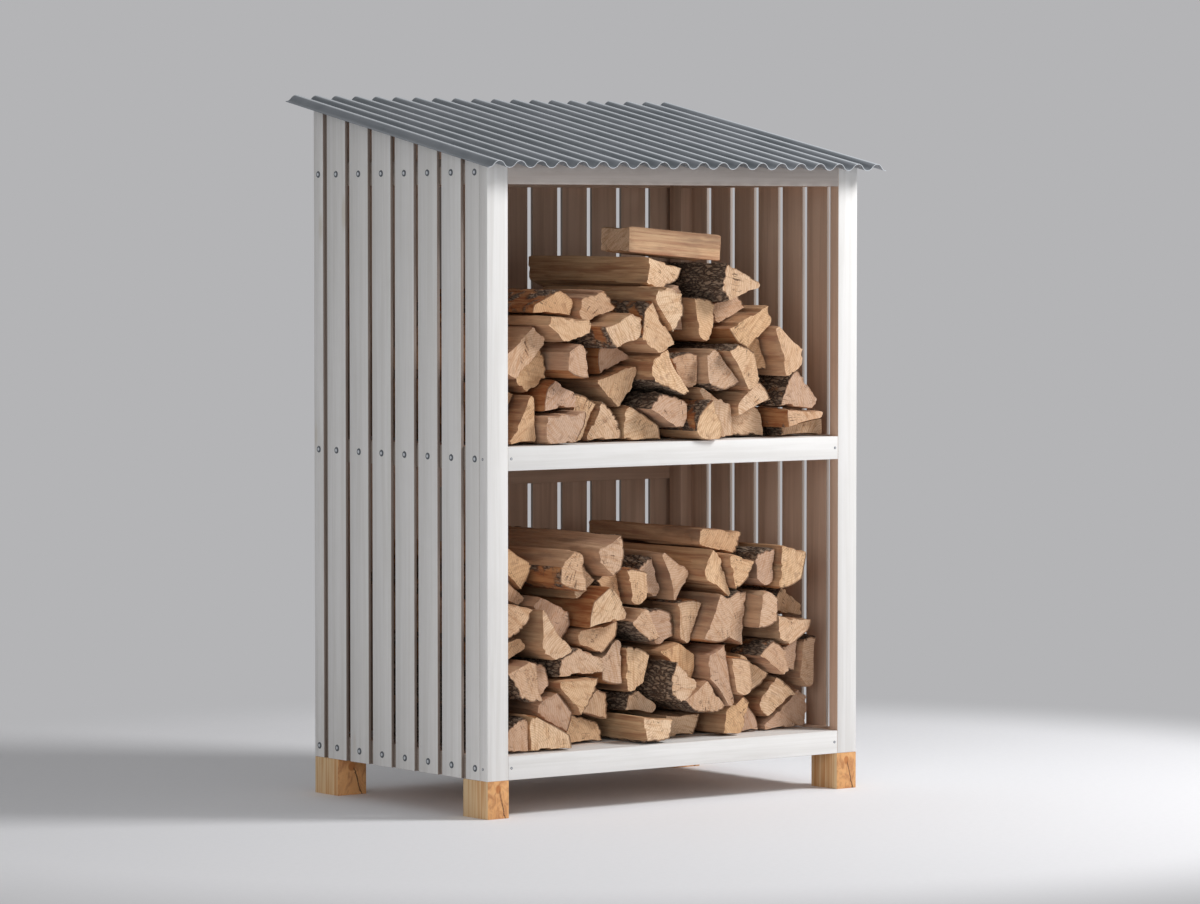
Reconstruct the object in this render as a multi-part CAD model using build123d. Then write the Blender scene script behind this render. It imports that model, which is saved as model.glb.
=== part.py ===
from build123d import *
import math
import os
import random

# Open-fronted log store: a white slatted timber frame on four pine feet, with a floor, one shelf,
# a corrugated lean-to roof and two stacks of split firewood.
# Frame: millimetres, +Z up, the open front faces -Y, +X is to the right of somebody facing the front.
# The origin is on the ground, under the middle of the roof.

# Overall frame
FRAME_WIDTH = 1200.0          # across the outer faces of the side slats
FRAME_DEPTH = 770.0           # front of the posts to the back of the back slats
FRONT_HEIGHT = 1638.0         # underside of the roof at the front of the posts
ROOF_SLOPE = 11.3             # degrees, the roof falls towards the front

# Feet
FOOT_HEIGHT = 95.0
FOOT_DEPTH = 105.0
FRONT_FOOT_WIDTH = 66.0
BACK_FOOT_WIDTH = 90.0

# Posts and rails
POST_WIDTH = 64.0
POST_DEPTH = 34.0
BACK_POST_WIDTH = 38.0
BACK_POST_DEPTH = 50.0
RAIL_HEIGHT = 60.0
RAIL_THICKNESS = 34.0
BACK_RAIL_THICKNESS = 21.0    # the back rails run behind the back posts
SHELF_RAIL_TOP = 930.0        # top of the front shelf rail and of the shelf
HEADER_FACE = 53.0            # front face of the header, from its underside up to the roof
BACK_SHELF_RAIL_HEIGHT = 140.0

# Slatted walls
SLAT_WIDTH = 84.0
FRONT_SLAT_WIDTH = 60.0       # ripped slat behind each front post
RIGHT_BACK_SLAT_WIDTH = 90.0
SLAT_THICKNESS = 9.0
SIDE_SLAT_GAP = 18.5
BACK_SLAT_GAP = 16.0

# Floor and shelf boards
BOARD_WIDTH = 90.0
BOARD_THICKNESS = 19.0
BOARD_GAP_MIN = 4.0
BEARER_WIDTH = 45.0
BEARER_COUNT = 3

# Corrugated roof sheet
WAVE_PITCH = 64.3
WAVE_HEIGHT = 17.0            # trough to crest at mid thickness
WAVE_COUNT = 20               # from a trough at the left edge to one at the right
SHEET_THICKNESS = 1.5
EAVES_OVERHANG = 66.0         # past the front of the posts, and as much past the back slats
SHEET_SEAT = 0.2              # clearance between the troughs and the timber

# Firewood
LOG_STAGGER = 120.0           # how unevenly the front ends stand
LOG_LENGTH_SPREAD = 30.0      # how unevenly the logs are cut
LOG_BACK_ROOM = 63.0          # least room behind the logs
UPPER_LOG_REACH = 22.0        # furthest that upper logs stand out past the front rail
LOWER_LOG_SETBACK = 16.0      # least that lower logs stand back from the front rail's face
LOG_PITCH_ACROSS = 152.0      # spacing of the unsplit rounds that the logs are split from
LOG_PITCH_UP = 128.0
LOG_LARGEST = 112.0           # a round is split until each log's end is under this squared
LOG_THINNEST = 46.0           # thinner splinters are left out
LOG_CLEARANCE = 0.2           # taken off each log's outline, so that neighbours lie twice this apart
LOG_SIDE_CLEARANCE = 3.0      # between the stack and the posts
LOG_END_TILT = 6.0            # degrees, largest slant of a sawn end
TOP_LOG_LENGTH = 300.0        # the log that lies across the upper stack
TOP_LOG_HEIGHT = 72.0
TOP_LOG_DEPTH = 115.0
SHORTEST_EDGE = 2.0           # shorter stretches of a log's outline run into the arc beside them

# Stack outlines, left to right: share of the clear width, share of the bay's clear height
UPPER_STACK_SHARES = (
    (0, 0.58),
    (0.2, 0.62),
    (0.34, 0.70),
    (0.45, 0.80),
    (0.66, 0.80),
    (0.76, 0.62),
    (1, 0.30),
)
LOWER_STACK_SHARES = ((0, 0.80), (0.3, 0.80), (0.75, 0.77), (0.9, 0.70), (1, 0.52))
UPPER_SEED = 64               # picks one way of stacking and splitting the logs
LOWER_SEED = 303
SEED_JITTER_SHARE = 0.24      # of the spacing of the rounds
BARK_SHARE = 0.88             # of the logs keep a round bark side
BARK_RADIUS_SHARES = (0.70, 0.88)
WORN_RADIUS_SHARES = (0.86, 0.97)
SPLIT_TRIES = 8               # ways to split a log before it is left whole
TOP_LOG_SHARE = 0.57          # of the clear width, to the middle of the log on top
ARC_POINTS = 12               # points that stand for an arc where the top log seats on it

# Derived places
LEFT = -FRAME_WIDTH / 2
FRONT = -FRAME_DEPTH / 2
BACK = FRAME_DEPTH / 2
SLAT_INNER = LEFT + SLAT_THICKNESS                 # inner face of the left slats
POST_INNER = LEFT + POST_WIDTH                     # inner face of the left front post
BACK_SLAT_INNER = BACK - SLAT_THICKNESS
BACK_RAIL_FRONT = BACK_SLAT_INNER - BACK_RAIL_THICKNESS
BACK_POST_FRONT = BACK_RAIL_FRONT - BACK_POST_DEPTH
FRONT_POST_BACK = FRONT + POST_DEPTH
FRONT_RAIL_BACK = FRONT + RAIL_THICKNESS
FLOOR_TOP = FOOT_HEIGHT + RAIL_HEIGHT
SHELF_RAIL_BOTTOM = SHELF_RAIL_TOP - RAIL_HEIGHT
TIE_RAIL_BOTTOM = FRONT_HEIGHT - HEADER_FACE       # also the underside of the ties round the top
TIE_RAIL_TOP = TIE_RAIL_BOTTOM + RAIL_HEIGHT
CLEAR_WIDTH = -2 * POST_INNER
SLOPE = math.tan(math.radians(ROOF_SLOPE))
OVERRUN = FRAME_WIDTH                              # how far cutting solids run past what they cut


def roof_height(y):
    """Underside of the roof, where the troughs seat, at a distance along Y."""
    return FRONT_HEIGHT + SLOPE * (y - FRONT)


def block(x, y, z):
    """Box between two limits on each axis."""
    size = [high - low for low, high in (x, y, z)]
    middle = [(low + high) / 2 for low, high in (x, y, z)]
    return Pos(*middle) * Box(*size)


def mirrored(limits):
    """The same limits on the other side of the middle."""
    low, high = limits
    return (-high, -low)


def below_roof():
    """Everything under the roof's seat, as one solid to trim the timber with."""
    front, back = FRONT - OVERRUN, BACK + OVERRUN
    outline = Plane.YZ * Polyline(
        (front, -OVERRUN),
        (back, -OVERRUN),
        (back, roof_height(back)),
        (front, roof_height(front)),
        close=True,
    )
    return extrude(make_face(outline), amount=OVERRUN, both=True)


def feet():
    """Four pine blocks, flush with the outer corners of the frame."""
    height = (0, FOOT_HEIGHT)
    front_x, back_x = (LEFT, LEFT + FRONT_FOOT_WIDTH), (LEFT, LEFT + BACK_FOOT_WIDTH)
    front_y, back_y = (FRONT, FRONT + FOOT_DEPTH), (BACK - FOOT_DEPTH, BACK)
    return {
        "foot_front_left": block(front_x, front_y, height),
        "foot_front_right": block(mirrored(front_x), front_y, height),
        "foot_back_left": block(back_x, back_y, height),
        "foot_back_right": block(mirrored(back_x), back_y, height),
    }


def posts(trim):
    """Corner posts from the feet up to the roof."""
    height = (FOOT_HEIGHT, roof_height(BACK))
    front_x, back_x = (LEFT, POST_INNER), (SLAT_INNER, SLAT_INNER + BACK_POST_WIDTH)
    front_y, back_y = (FRONT, FRONT_POST_BACK), (BACK_POST_FRONT, BACK_RAIL_FRONT)
    return {
        "post_front_left": block(front_x, front_y, height) & trim,
        "post_front_right": block(mirrored(front_x), front_y, height) & trim,
        "post_back_left": block(back_x, back_y, height) & trim,
        "post_back_right": block(mirrored(back_x), back_y, height) & trim,
    }


def front_rails(trim):
    """Bottom rail, shelf rail and header between the front posts."""
    x, y = (POST_INNER, -POST_INNER), (FRONT, FRONT_RAIL_BACK)
    header = block(x, y, (TIE_RAIL_BOTTOM, roof_height(BACK)))
    return {
        "front_bottom_rail": block(x, y, (FOOT_HEIGHT, FLOOR_TOP)),
        "front_shelf_rail": block(x, y, (SHELF_RAIL_BOTTOM, SHELF_RAIL_TOP)),
        "front_header": header & trim,
    }


def back_rails(trim):
    """Rails behind the back posts, the taller shelf rail among them, and the plate that carries the roof."""
    x, y = (SLAT_INNER, -SLAT_INNER), (BACK_RAIL_FRONT, BACK_SLAT_INNER)
    plate_bottom = roof_height(BACK_RAIL_FRONT) - RAIL_HEIGHT
    return {
        "back_bottom_rail": block(x, y, (FOOT_HEIGHT, FLOOR_TOP)),
        "back_shelf_rail": block(x, y, (SHELF_RAIL_TOP - BACK_SHELF_RAIL_HEIGHT, SHELF_RAIL_TOP)),
        "back_tie_rail": block(x, y, (TIE_RAIL_BOTTOM, TIE_RAIL_TOP)) & trim,
        "back_top_plate": block(x, y, (plate_bottom, roof_height(BACK))) & trim,
    }


def side_rails(trim):
    """Three level rails on each side, between the front and back posts, that the slats screw to."""
    x, y = (SLAT_INNER, SLAT_INNER + RAIL_THICKNESS), (FRONT_POST_BACK, BACK_POST_FRONT)
    levels = {"bottom_rail": FOOT_HEIGHT, "shelf_rail": SHELF_RAIL_BOTTOM, "tie_rail": TIE_RAIL_BOTTOM}
    rails = {}
    for name, low in levels.items():
        height = (low, low + RAIL_HEIGHT)
        rails[f"left_{name}"] = block(x, y, height) & trim
        rails[f"right_{name}"] = block(mirrored(x), y, height) & trim
    return rails


def roof_purlin(trim):
    """Timber across the middle of the roof, screwed to through the side slats."""
    x, y = (SLAT_INNER, -SLAT_INNER), (-RAIL_THICKNESS / 2, RAIL_THICKNESS / 2)
    bottom = roof_height(y[0]) - RAIL_HEIGHT
    return {"roof_purlin": block(x, y, (bottom, roof_height(BACK))) & trim}


def slat_places(length, gap, first_width):
    """Start and end of each slat along a wall: full slats, then a ripped one that fills what is left."""
    places = [(0, first_width)]
    start = first_width + gap
    while length - start > gap:
        places.append((start, min(start + SLAT_WIDTH, length)))
        start += SLAT_WIDTH + gap
    return places


def side_slats(trim):
    """Upright slats behind the front posts, flush with their outer faces and cut to the roof's slope."""
    height = (FOOT_HEIGHT, roof_height(BACK))
    x = (LEFT, SLAT_INNER)
    nodes = {}
    for name, wall_x in (("left_wall_slats", x), ("right_wall_slats", mirrored(x))):
        slats = []
        for start, end in slat_places(BACK - FRONT_POST_BACK, SIDE_SLAT_GAP, FRONT_SLAT_WIDTH):
            y = (FRONT_POST_BACK + start, FRONT_POST_BACK + end)
            slats.append((block(wall_x, y, height) & trim).solid())
        nodes[name] = Compound(children=slats)
    return nodes


def back_slats(trim):
    """Upright slats across the back, between the side slats, set out from the right."""
    height = (FOOT_HEIGHT, roof_height(BACK))
    y = (BACK_SLAT_INNER, BACK)
    slats = []
    for start, end in slat_places(-2 * SLAT_INNER, BACK_SLAT_GAP, RIGHT_BACK_SLAT_WIDTH):
        x = (-SLAT_INNER - end, -SLAT_INNER - start)
        slats.append((block(x, y, height) & trim).solid())
    return {"back_wall_slats": Compound(children=slats)}


def deck(top):
    """Boards across the store with their tops at a height, and the bearers between the rails under them."""
    start, end = FRONT_RAIL_BACK, BACK_RAIL_FRONT
    count = int((end - start + BOARD_GAP_MIN) // (BOARD_WIDTH + BOARD_GAP_MIN))
    pitch = BOARD_WIDTH + (end - start - count * BOARD_WIDTH) / (count - 1)
    boards = []
    for i in range(count):
        y = (start + i * pitch, start + i * pitch + BOARD_WIDTH)
        boards.append(block((POST_INNER, -POST_INNER), y, (top - BOARD_THICKNESS, top)).solid())
    bearers = []
    for i in range(BEARER_COUNT):
        middle = POST_INNER + CLEAR_WIDTH * (i + 0.5) / BEARER_COUNT
        x = (middle - BEARER_WIDTH / 2, middle + BEARER_WIDTH / 2)
        bearers.append(block(x, (start, end), (top - RAIL_HEIGHT, top - BOARD_THICKNESS)).solid())
    return Compound(children=boards), Compound(children=bearers)


def decks():
    """Floor and shelf, level with the tops of the rails round them."""
    floor_boards, floor_bearers = deck(FLOOR_TOP)
    shelf_boards, shelf_bearers = deck(SHELF_RAIL_TOP)
    return {
        "floor_boards": floor_boards,
        "floor_bearers": floor_bearers,
        "shelf_boards": shelf_boards,
        "shelf_bearers": shelf_bearers,
    }


def wave_point(middle, up, offset, turn_share):
    """Point of a half wave's arc: -1 is its start, 0 its crest or trough and 1 its end."""
    half_chord, rise = WAVE_PITCH / 4, WAVE_HEIGHT / 2
    radius = (half_chord * half_chord + rise * rise) / (2 * rise)
    angle = math.asin(half_chord / radius) * turn_share
    reach = radius + up * offset
    centre = rise + up * (rise - radius)
    return (middle + reach * math.sin(angle), centre + up * reach * math.cos(angle))


def wave_edges(offset):
    """One face of the corrugated sheet, as arcs from trough to trough, at an offset from its middle."""
    last = 2 * WAVE_COUNT
    edges = []
    for i in range(last + 1):
        up = 1 if i % 2 else -1
        middle = (i - WAVE_COUNT) * WAVE_PITCH / 2
        start_share = 0 if i == 0 else -1
        end_share = 0 if i == last else 1
        shares = (start_share, (start_share + end_share) / 2, end_share)
        edges.append(ThreePointArc(*(wave_point(middle, up, offset, share) for share in shares)))
    return edges


def roof_sheet():
    """Corrugated sheet with its waves running down the slope, seated on its troughs."""
    half = SHEET_THICKNESS / 2
    upper, lower = wave_edges(half), wave_edges(-half)
    sides = [Line(upper[0] @ 0, lower[0] @ 0), Line(upper[-1] @ 1, lower[-1] @ 1)]
    profile = make_face(Wire(upper + lower + sides))
    slant = math.radians(ROOF_SLOPE)
    lift = WAVE_HEIGHT / 2 - (WAVE_HEIGHT / 2 - half) + SHEET_SEAT
    front = FRONT - EAVES_OVERHANG
    length = (FRAME_DEPTH + 2 * EAVES_OVERHANG) / math.cos(slant)
    place = Plane(
        origin=(0, front, roof_height(front) + lift / math.cos(slant)),
        x_dir=(1, 0, 0),
        z_dir=(0, -math.cos(slant), -math.sin(slant)),
    )
    return {"roof_sheet": extrude(place * profile, amount=-length)}


def clip(polygon, point, normal):
    """The part of a convex polygon on the far side of a line from where its normal points."""
    kept = []
    for i, here in enumerate(polygon):
        there = polygon[(i + 1) % len(polygon)]
        a = (here[0] - point[0]) * normal[0] + (here[1] - point[1]) * normal[1]
        b = (there[0] - point[0]) * normal[0] + (there[1] - point[1]) * normal[1]
        if a <= 0:
            kept.append(here)
        if (a < 0 < b) or (b < 0 < a):
            t = a / (a - b)
            kept.append((here[0] + t * (there[0] - here[0]), here[1] + t * (there[1] - here[1])))
    return kept


def edges_of(polygon):
    """Each edge as start, end and outward unit normal, for a polygon that runs anticlockwise."""
    for i, here in enumerate(polygon):
        there = polygon[(i + 1) % len(polygon)]
        run = math.dist(here, there)
        if run > 0:
            yield here, there, ((there[1] - here[1]) / run, (here[0] - there[0]) / run)


def shrink(polygon, amount):
    """A convex polygon with every edge moved inwards."""
    made = polygon
    for here, _, normal in list(edges_of(polygon)):
        made = clip(made, (here[0] - normal[0] * amount, here[1] - normal[1] * amount), normal)
    return made


def thickness(polygon):
    """Least width of a convex polygon."""
    widths = []
    for here, _, normal in edges_of(polygon):
        widths.append(max((here[0] - p[0]) * normal[0] + (here[1] - p[1]) * normal[1] for p in polygon))
    return min(widths)


def area(polygon):
    """Area of a polygon that runs anticlockwise."""
    return sum(a[0] * b[1] - b[0] * a[1] for a, b, _ in edges_of(polygon)) / 2


def centre_of(polygon):
    """Mean of a polygon's corners."""
    return tuple(sum(p[i] for p in polygon) / len(polygon) for i in (0, 1))


def stack_height(shares, share_across):
    """Height of a stack's outline, as a share, at a share of the clear width."""
    for (x0, h0), (x1, h1) in zip(shares, shares[1:]):
        if share_across <= x1:
            return h0 + (h1 - h0) * (share_across - x0) / (x1 - x0)
    return shares[-1][1]


def rounds(dice, width, height):
    """Outlines of unsplit rounds that fill a bay: the Voronoi cells of an uneven staggered grid."""
    columns, layers = round(width / LOG_PITCH_ACROSS), round(height / LOG_PITCH_UP)
    across, up = width / columns, height / layers
    middles = []
    for layer in range(layers):
        for column in range(columns):
            stagger = (1 + 2 * (layer % 2)) / 4
            x = (column + stagger + dice.uniform(-1, 1) * SEED_JITTER_SHARE) * across
            z = (layer + 0.5 + dice.uniform(-1, 1) * SEED_JITTER_SHARE) * up
            middles.append((x, z))
    cells = []
    for here in middles:
        cell = [(0, 0), (width, 0), (width, height), (0, height)]
        for other in middles:
            gap = math.dist(here, other)
            if gap > 0:
                halfway = ((here[0] + other[0]) / 2, (here[1] + other[1]) / 2)
                cell = clip(cell, halfway, ((other[0] - here[0]) / gap, (other[1] - here[1]) / gap))
        cells.append(cell)
    return cells


def split_log(dice, outline):
    """The pieces that an outline splits into, through its middle, until each is small enough."""
    if area(outline) < LOG_LARGEST * LOG_LARGEST:
        return [outline]
    middle = centre_of(outline)
    for _ in range(SPLIT_TRIES):
        angle = dice.uniform(0, math.pi)
        normal = (math.cos(angle), math.sin(angle))
        halves = [clip(outline, middle, normal), clip(outline, middle, (-normal[0], -normal[1]))]
        if min(thickness(half) for half in halves) > LOG_THINNEST:
            return split_log(dice, halves[0]) + split_log(dice, halves[1])
    return [outline]


def sharpest_corner(polygon):
    """The corner with the smallest angle, where a wedge's pith would be."""
    def angle(i):
        here, before, after = polygon[i], polygon[i - 1], polygon[(i + 1) % len(polygon)]
        a = math.atan2(before[1] - here[1], before[0] - here[0])
        b = math.atan2(after[1] - here[1], after[0] - here[0])
        return (a - b) % (2 * math.pi)
    return polygon[min(range(len(polygon)), key=angle)]


def crossings(here, there, centre, radius):
    """Shares of the way along an edge at which it enters and leaves a circle, or None if it misses."""
    dx, dz = there[0] - here[0], there[1] - here[1]
    fx, fz = here[0] - centre[0], here[1] - centre[1]
    a, b, c = dx * dx + dz * dz, fx * dx + fz * dz, fx * fx + fz * fz - radius * radius
    root = b * b - a * c
    if root <= 0:
        return None
    low, high = max((-b - math.sqrt(root)) / a, 0), min((-b + math.sqrt(root)) / a, 1)
    return (low, high) if high > low else None


def bark_circle(dice, outline):
    """Centre and radius of the circle that a log's outline lies in, and whose arcs are its round sides."""
    if dice.random() < BARK_SHARE:
        centre, shares = sharpest_corner(outline), BARK_RADIUS_SHARES
    else:
        centre, shares = centre_of(outline), WORN_RADIUS_SHARES
    return centre, dice.uniform(*shares) * max(math.dist(centre, p) for p in outline)


def flat_sides(polygon, centre, radius):
    """The stretches of a polygon's edges that lie in a circle: a log's flat split sides."""
    kept = []
    for here, there, _ in edges_of(polygon):
        found = crossings(here, there, centre, radius)
        if found:
            ends = [tuple(here[i] + t * (there[i] - here[i]) for i in (0, 1)) for t in found]
            if math.dist(*ends) > SHORTEST_EDGE:
                kept.append(ends)
    return kept


def lie_together(one, other):
    """Whether two flat sides face each other along a shared stretch."""
    start, end = one
    run = math.dist(start, end)
    along = ((end[0] - start[0]) / run, (end[1] - start[1]) / run)
    across = [(p[0] - start[0]) * along[1] - (p[1] - start[1]) * along[0] for p in other]
    spans = sorted((p[0] - start[0]) * along[0] + (p[1] - start[1]) * along[1] for p in other)
    near = max(abs(gap) for gap in across) < 3 * LOG_CLEARANCE
    return near and min(spans[1], run) - max(spans[0], 0) > SHORTEST_EDGE


def resting(logs):
    """The logs that lie on the floor, or on logs that do."""
    held = [log for log in logs if any(max(a[1], b[1]) < 2 * LOG_CLEARANCE for a, b in log["sides"])]
    loose = [log for log in logs if log not in held]
    for below in held:
        for log in list(loose):
            if any(lie_together(a, b) for a in below["sides"] for b in log["sides"]):
                held.append(log)
                loose.remove(log)
    return held


def stacked(dice, width, height, shares):
    """Logs whose outlines lie under a stack's own outline, each taken in by the clearance."""
    logs = []
    for cell in rounds(dice, width, height):
        for piece in split_log(dice, cell):
            top = max(z for _, z in piece)
            limit = height * stack_height(shares, centre_of(piece)[0] / width)
            outline = shrink(piece, LOG_CLEARANCE)
            if top < limit and thickness(outline) > LOG_THINNEST:
                circle = bark_circle(dice, outline)
                logs.append({"outline": outline, "circle": circle, "sides": flat_sides(outline, *circle)})
    return resting(logs)


def bark_arc(end, following, centre, radius, share):
    """The point a share of the way along the arc of bark from one flat side to the next."""
    a = math.atan2(end[1] - centre[1], end[0] - centre[0])
    b = math.atan2(following[1] - centre[1], following[0] - centre[0])
    turn = a + ((b - a) % (2 * math.pi)) * share
    return (centre[0] + radius * math.cos(turn), centre[1] + radius * math.sin(turn))


def joins(sides):
    """Where each flat side ends and the next one starts."""
    return [(end, sides[(i + 1) % len(sides)][0]) for i, (_, end) in enumerate(sides)]


def log_wire(sides, centre, radius):
    """A log's outline: its flat sides, joined by arcs of bark."""
    edges = [Line(start, end) for start, end in sides]
    for end, following in joins(sides):
        if math.dist(end, following) > SHORTEST_EDGE:
            edges.append(ThreePointArc(end, bark_arc(end, following, centre, radius, 0.5), following))
        elif math.dist(end, following) > 0:
            edges.append(Line(end, following))
    return Wire(edges)


def top_seat(logs, low, high):
    """The two points that a straight log would lie on, across a stack, between two places along it."""
    points = []
    for log in logs:
        for end, following in joins(log["sides"]):
            arc = [bark_arc(end, following, *log["circle"], i / ARC_POINTS) for i in range(ARC_POINTS)]
            points += [end, following] + (arc if math.dist(end, following) > SHORTEST_EDGE else [])
    hull = []
    for point in sorted(p for p in points if low < p[0] < high):
        while len(hull) > 1 and turns_left(hull[-2], hull[-1], point):
            hull.pop()
        hull.append(point)
    middle = (low + high) / 2
    return next((a, b) for a, b in zip(hull, hull[1:]) if b[0] > middle)


def turns_left(a, b, c):
    """Whether the way from a through b to c bends to the left or runs straight on."""
    return (b[0] - a[0]) * (c[1] - a[1]) - (b[1] - a[1]) * (c[0] - a[0]) >= 0


def top_log(logs, width):
    """A log that lies across a stack, on its two highest points there."""
    middle, reach = width * TOP_LOG_SHARE, TOP_LOG_LENGTH / 2
    (x0, z0), (x1, z1) = top_seat(logs, middle - reach, middle + reach)
    slant = math.atan2(z1 - z0, x1 - x0)
    along, up = (math.cos(slant), math.sin(slant)), (-math.sin(slant), math.cos(slant))
    seat = z0 + (middle - x0) * (z1 - z0) / (x1 - x0)
    def corner(side, rise):
        rise += 2 * LOG_CLEARANCE
        return (middle + side * reach * along[0] + rise * up[0], seat + side * reach * along[1] + rise * up[1])
    outline = [corner(-1, 0), corner(1, 0), corner(1, TOP_LOG_HEIGHT), corner(-1, TOP_LOG_HEIGHT)]
    sides = [(here, there) for here, there, _ in edges_of(outline)]
    return {"outline": outline, "circle": (centre_of(outline), 2 * TOP_LOG_LENGTH), "sides": sides}


def sawn_end(dice, middle, y, facing):
    """Plane of a sawn end, slanted a little, facing along Y one way or the other."""
    tilt, turn = (math.radians(dice.uniform(-LOG_END_TILT, LOG_END_TILT)) for _ in range(2))
    return Plane(origin=(middle[0], y, middle[1]), z_dir=(math.tan(turn), facing, math.tan(tilt)))


def log_solid(dice, log, corner, y):
    """One split log: its outline is set out from a bay's lower left corner, and it lies along Y."""
    place = Plane(origin=(corner[0], 0, corner[1]), x_dir=(1, 0, 0), z_dir=(0, -1, 0))
    face = make_face(log_wire(log["sides"], *log["circle"]))
    bar = extrude(place * face, amount=OVERRUN, both=True)
    middle = [a + b for a, b in zip(corner, centre_of(log["outline"]))]
    for end, facing in zip(y, (-1, 1)):
        bar = split(bar, bisect_by=sawn_end(dice, middle, end, facing), keep=Keep.BOTTOM)
    return bar.solid()


def log_stack(seed, low, high, shares, front, crossed=False):
    """Logs stacked between two heights, cut to fit the store's depth, with their front ends past a plane."""
    dice = random.Random(seed)
    slant = LOG_PITCH_ACROSS * math.tan(math.radians(LOG_END_TILT))
    longest = BACK_RAIL_FRONT - slant - LOG_BACK_ROOM - LOG_STAGGER - FRONT - LOWER_LOG_SETBACK
    corner = (POST_INNER + LOG_SIDE_CLEARANCE, low + LOG_CLEARANCE)
    width = CLEAR_WIDTH - 2 * LOG_SIDE_CLEARANCE
    logs = stacked(dice, width, high - low, shares)
    solids = []
    for log in logs:
        start = front + dice.random() * LOG_STAGGER
        end = start + longest - dice.random() * LOG_LENGTH_SPREAD
        solids.append(log_solid(dice, log, corner, (start, end)))
    if crossed:
        start = front + LOG_STAGGER + slant
        solids.append(log_solid(dice, top_log(logs, width), corner, (start, start + TOP_LOG_DEPTH)))
    return Compound(children=solids)


def firewood():
    """Split logs on the floor and on the shelf, with one across the top of the upper stack."""
    upper_front, lower_front = FRONT - UPPER_LOG_REACH, FRONT + LOWER_LOG_SETBACK
    upper, lower = (SHELF_RAIL_TOP, TIE_RAIL_BOTTOM), (FLOOR_TOP, SHELF_RAIL_BOTTOM)
    return {
        "upper_firewood": log_stack(UPPER_SEED, *upper, UPPER_STACK_SHARES, upper_front, crossed=True),
        "lower_firewood": log_stack(LOWER_SEED, *lower, LOWER_STACK_SHARES, lower_front),
    }


def main():
    trim = below_roof()
    nodes = {
        **feet(),
        **posts(trim),
        **front_rails(trim),
        **back_rails(trim),
        **side_rails(trim),
        **roof_purlin(trim),
        **side_slats(trim),
        **back_slats(trim),
        **decks(),
        **roof_sheet(),
        **firewood(),
    }
    os.makedirs("parts", exist_ok=True)
    for name, shape in nodes.items():
        export_step(shape, f"parts/{name}.step")


main()
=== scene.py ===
"""Looks of the log store: painted timber, bare feet, roof sheet, screws and firewood, in metres."""

import math
import random

import bmesh
import bpy
import numpy as np
from mathutils import Color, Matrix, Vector, noise


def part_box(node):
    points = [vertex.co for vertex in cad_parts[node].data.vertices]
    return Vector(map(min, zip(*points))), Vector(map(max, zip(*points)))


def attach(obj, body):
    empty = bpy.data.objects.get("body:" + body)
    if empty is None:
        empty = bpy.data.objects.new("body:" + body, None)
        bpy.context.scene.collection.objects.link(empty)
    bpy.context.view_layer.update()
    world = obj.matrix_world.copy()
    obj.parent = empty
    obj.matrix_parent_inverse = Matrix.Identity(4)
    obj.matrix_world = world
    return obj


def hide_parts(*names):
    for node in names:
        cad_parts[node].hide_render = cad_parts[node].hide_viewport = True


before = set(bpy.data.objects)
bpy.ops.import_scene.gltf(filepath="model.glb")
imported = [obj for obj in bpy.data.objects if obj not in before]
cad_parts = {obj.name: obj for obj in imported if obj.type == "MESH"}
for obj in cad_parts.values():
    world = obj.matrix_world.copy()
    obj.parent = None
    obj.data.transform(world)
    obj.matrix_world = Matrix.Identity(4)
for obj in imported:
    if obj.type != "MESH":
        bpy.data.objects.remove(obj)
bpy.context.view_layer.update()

# Camera and image
IMAGE_WIDTH_PX = 1200
FOCAL_PX = 4960.5
SENSOR_WIDTH_MM = 36
CAMERA_PLACE = (-7.8236, -10.3736, 1.4728)
LEVEL_DEG = 90
CAMERA_DOWN_DEG = 2.571
CAMERA_TURN_DEG = -37.177

# Stage and light
FLOOR_RADIUS = 30
FLOOR_STEPS = 96
FLOOR_FADE_SPAN = (1.9, 2.8)
LAMPS = {  # place, size and power
    "key": ((3.1, -3.0, 4.0), 1.7, 221),
    "fill": ((-5.3, -4.45, 1.7), 3.0, 70),
    "front": ((-1.5, -8.0, 1.2), 3.0, 32),
}
LIGHT_AIM = (0, 0, 0.9)
AMBIENT_COLOUR = (1, 1, 1, 1)
AMBIENT_STRENGTH = 0.28

# Timber
EDGE_ROUNDING = 0.0013
EDGE_STEPS = 2
EDGE_PROFILE_SHARE = 0.5
FLAT_WITHIN_DEG = 1
TIMBER_CREASE_DEG = 40
GRAIN_SPREAD = 40
TIMBER_SEED = 5
ORDER_DIGITS = 4
FACING_SHARE = 0.75  # how squarely a face looks along a direction to count as facing it
OUTER_SHARE = 0.5
CUT_EDGE_SHARE = 0.9

# Screws: a bright head inside a dark ring of painted shade where a countersink's shadow would fall; shares of
# the radius and of the height, from the rim inwards
SCREW_RADIUS = 0.0086
SCREW_PROUD = 0.0022
SCREW_STEPS = 24
SCREW_PROFILE_SHARES = ((1, 0), (0.97, 0.45), (0.8, 0.75), (0.62, 0.4), (0.56, 0.3), (0.5, 0.8), (0.3, 1))
# inside this share of the radius the head is bright; outside it the ring is painted shade
SCREW_BRIGHT_SHARE = 0.56
SMALL_SCREW_SHARE = 0.4
POST_SCREW_INSET = 0.020
SLAT_SCREW_SHARE = 0.5
FRONT_SLAT_SCREW_SHARE = 0.32
RAIL_SCREW_INSET = 0.010

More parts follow.
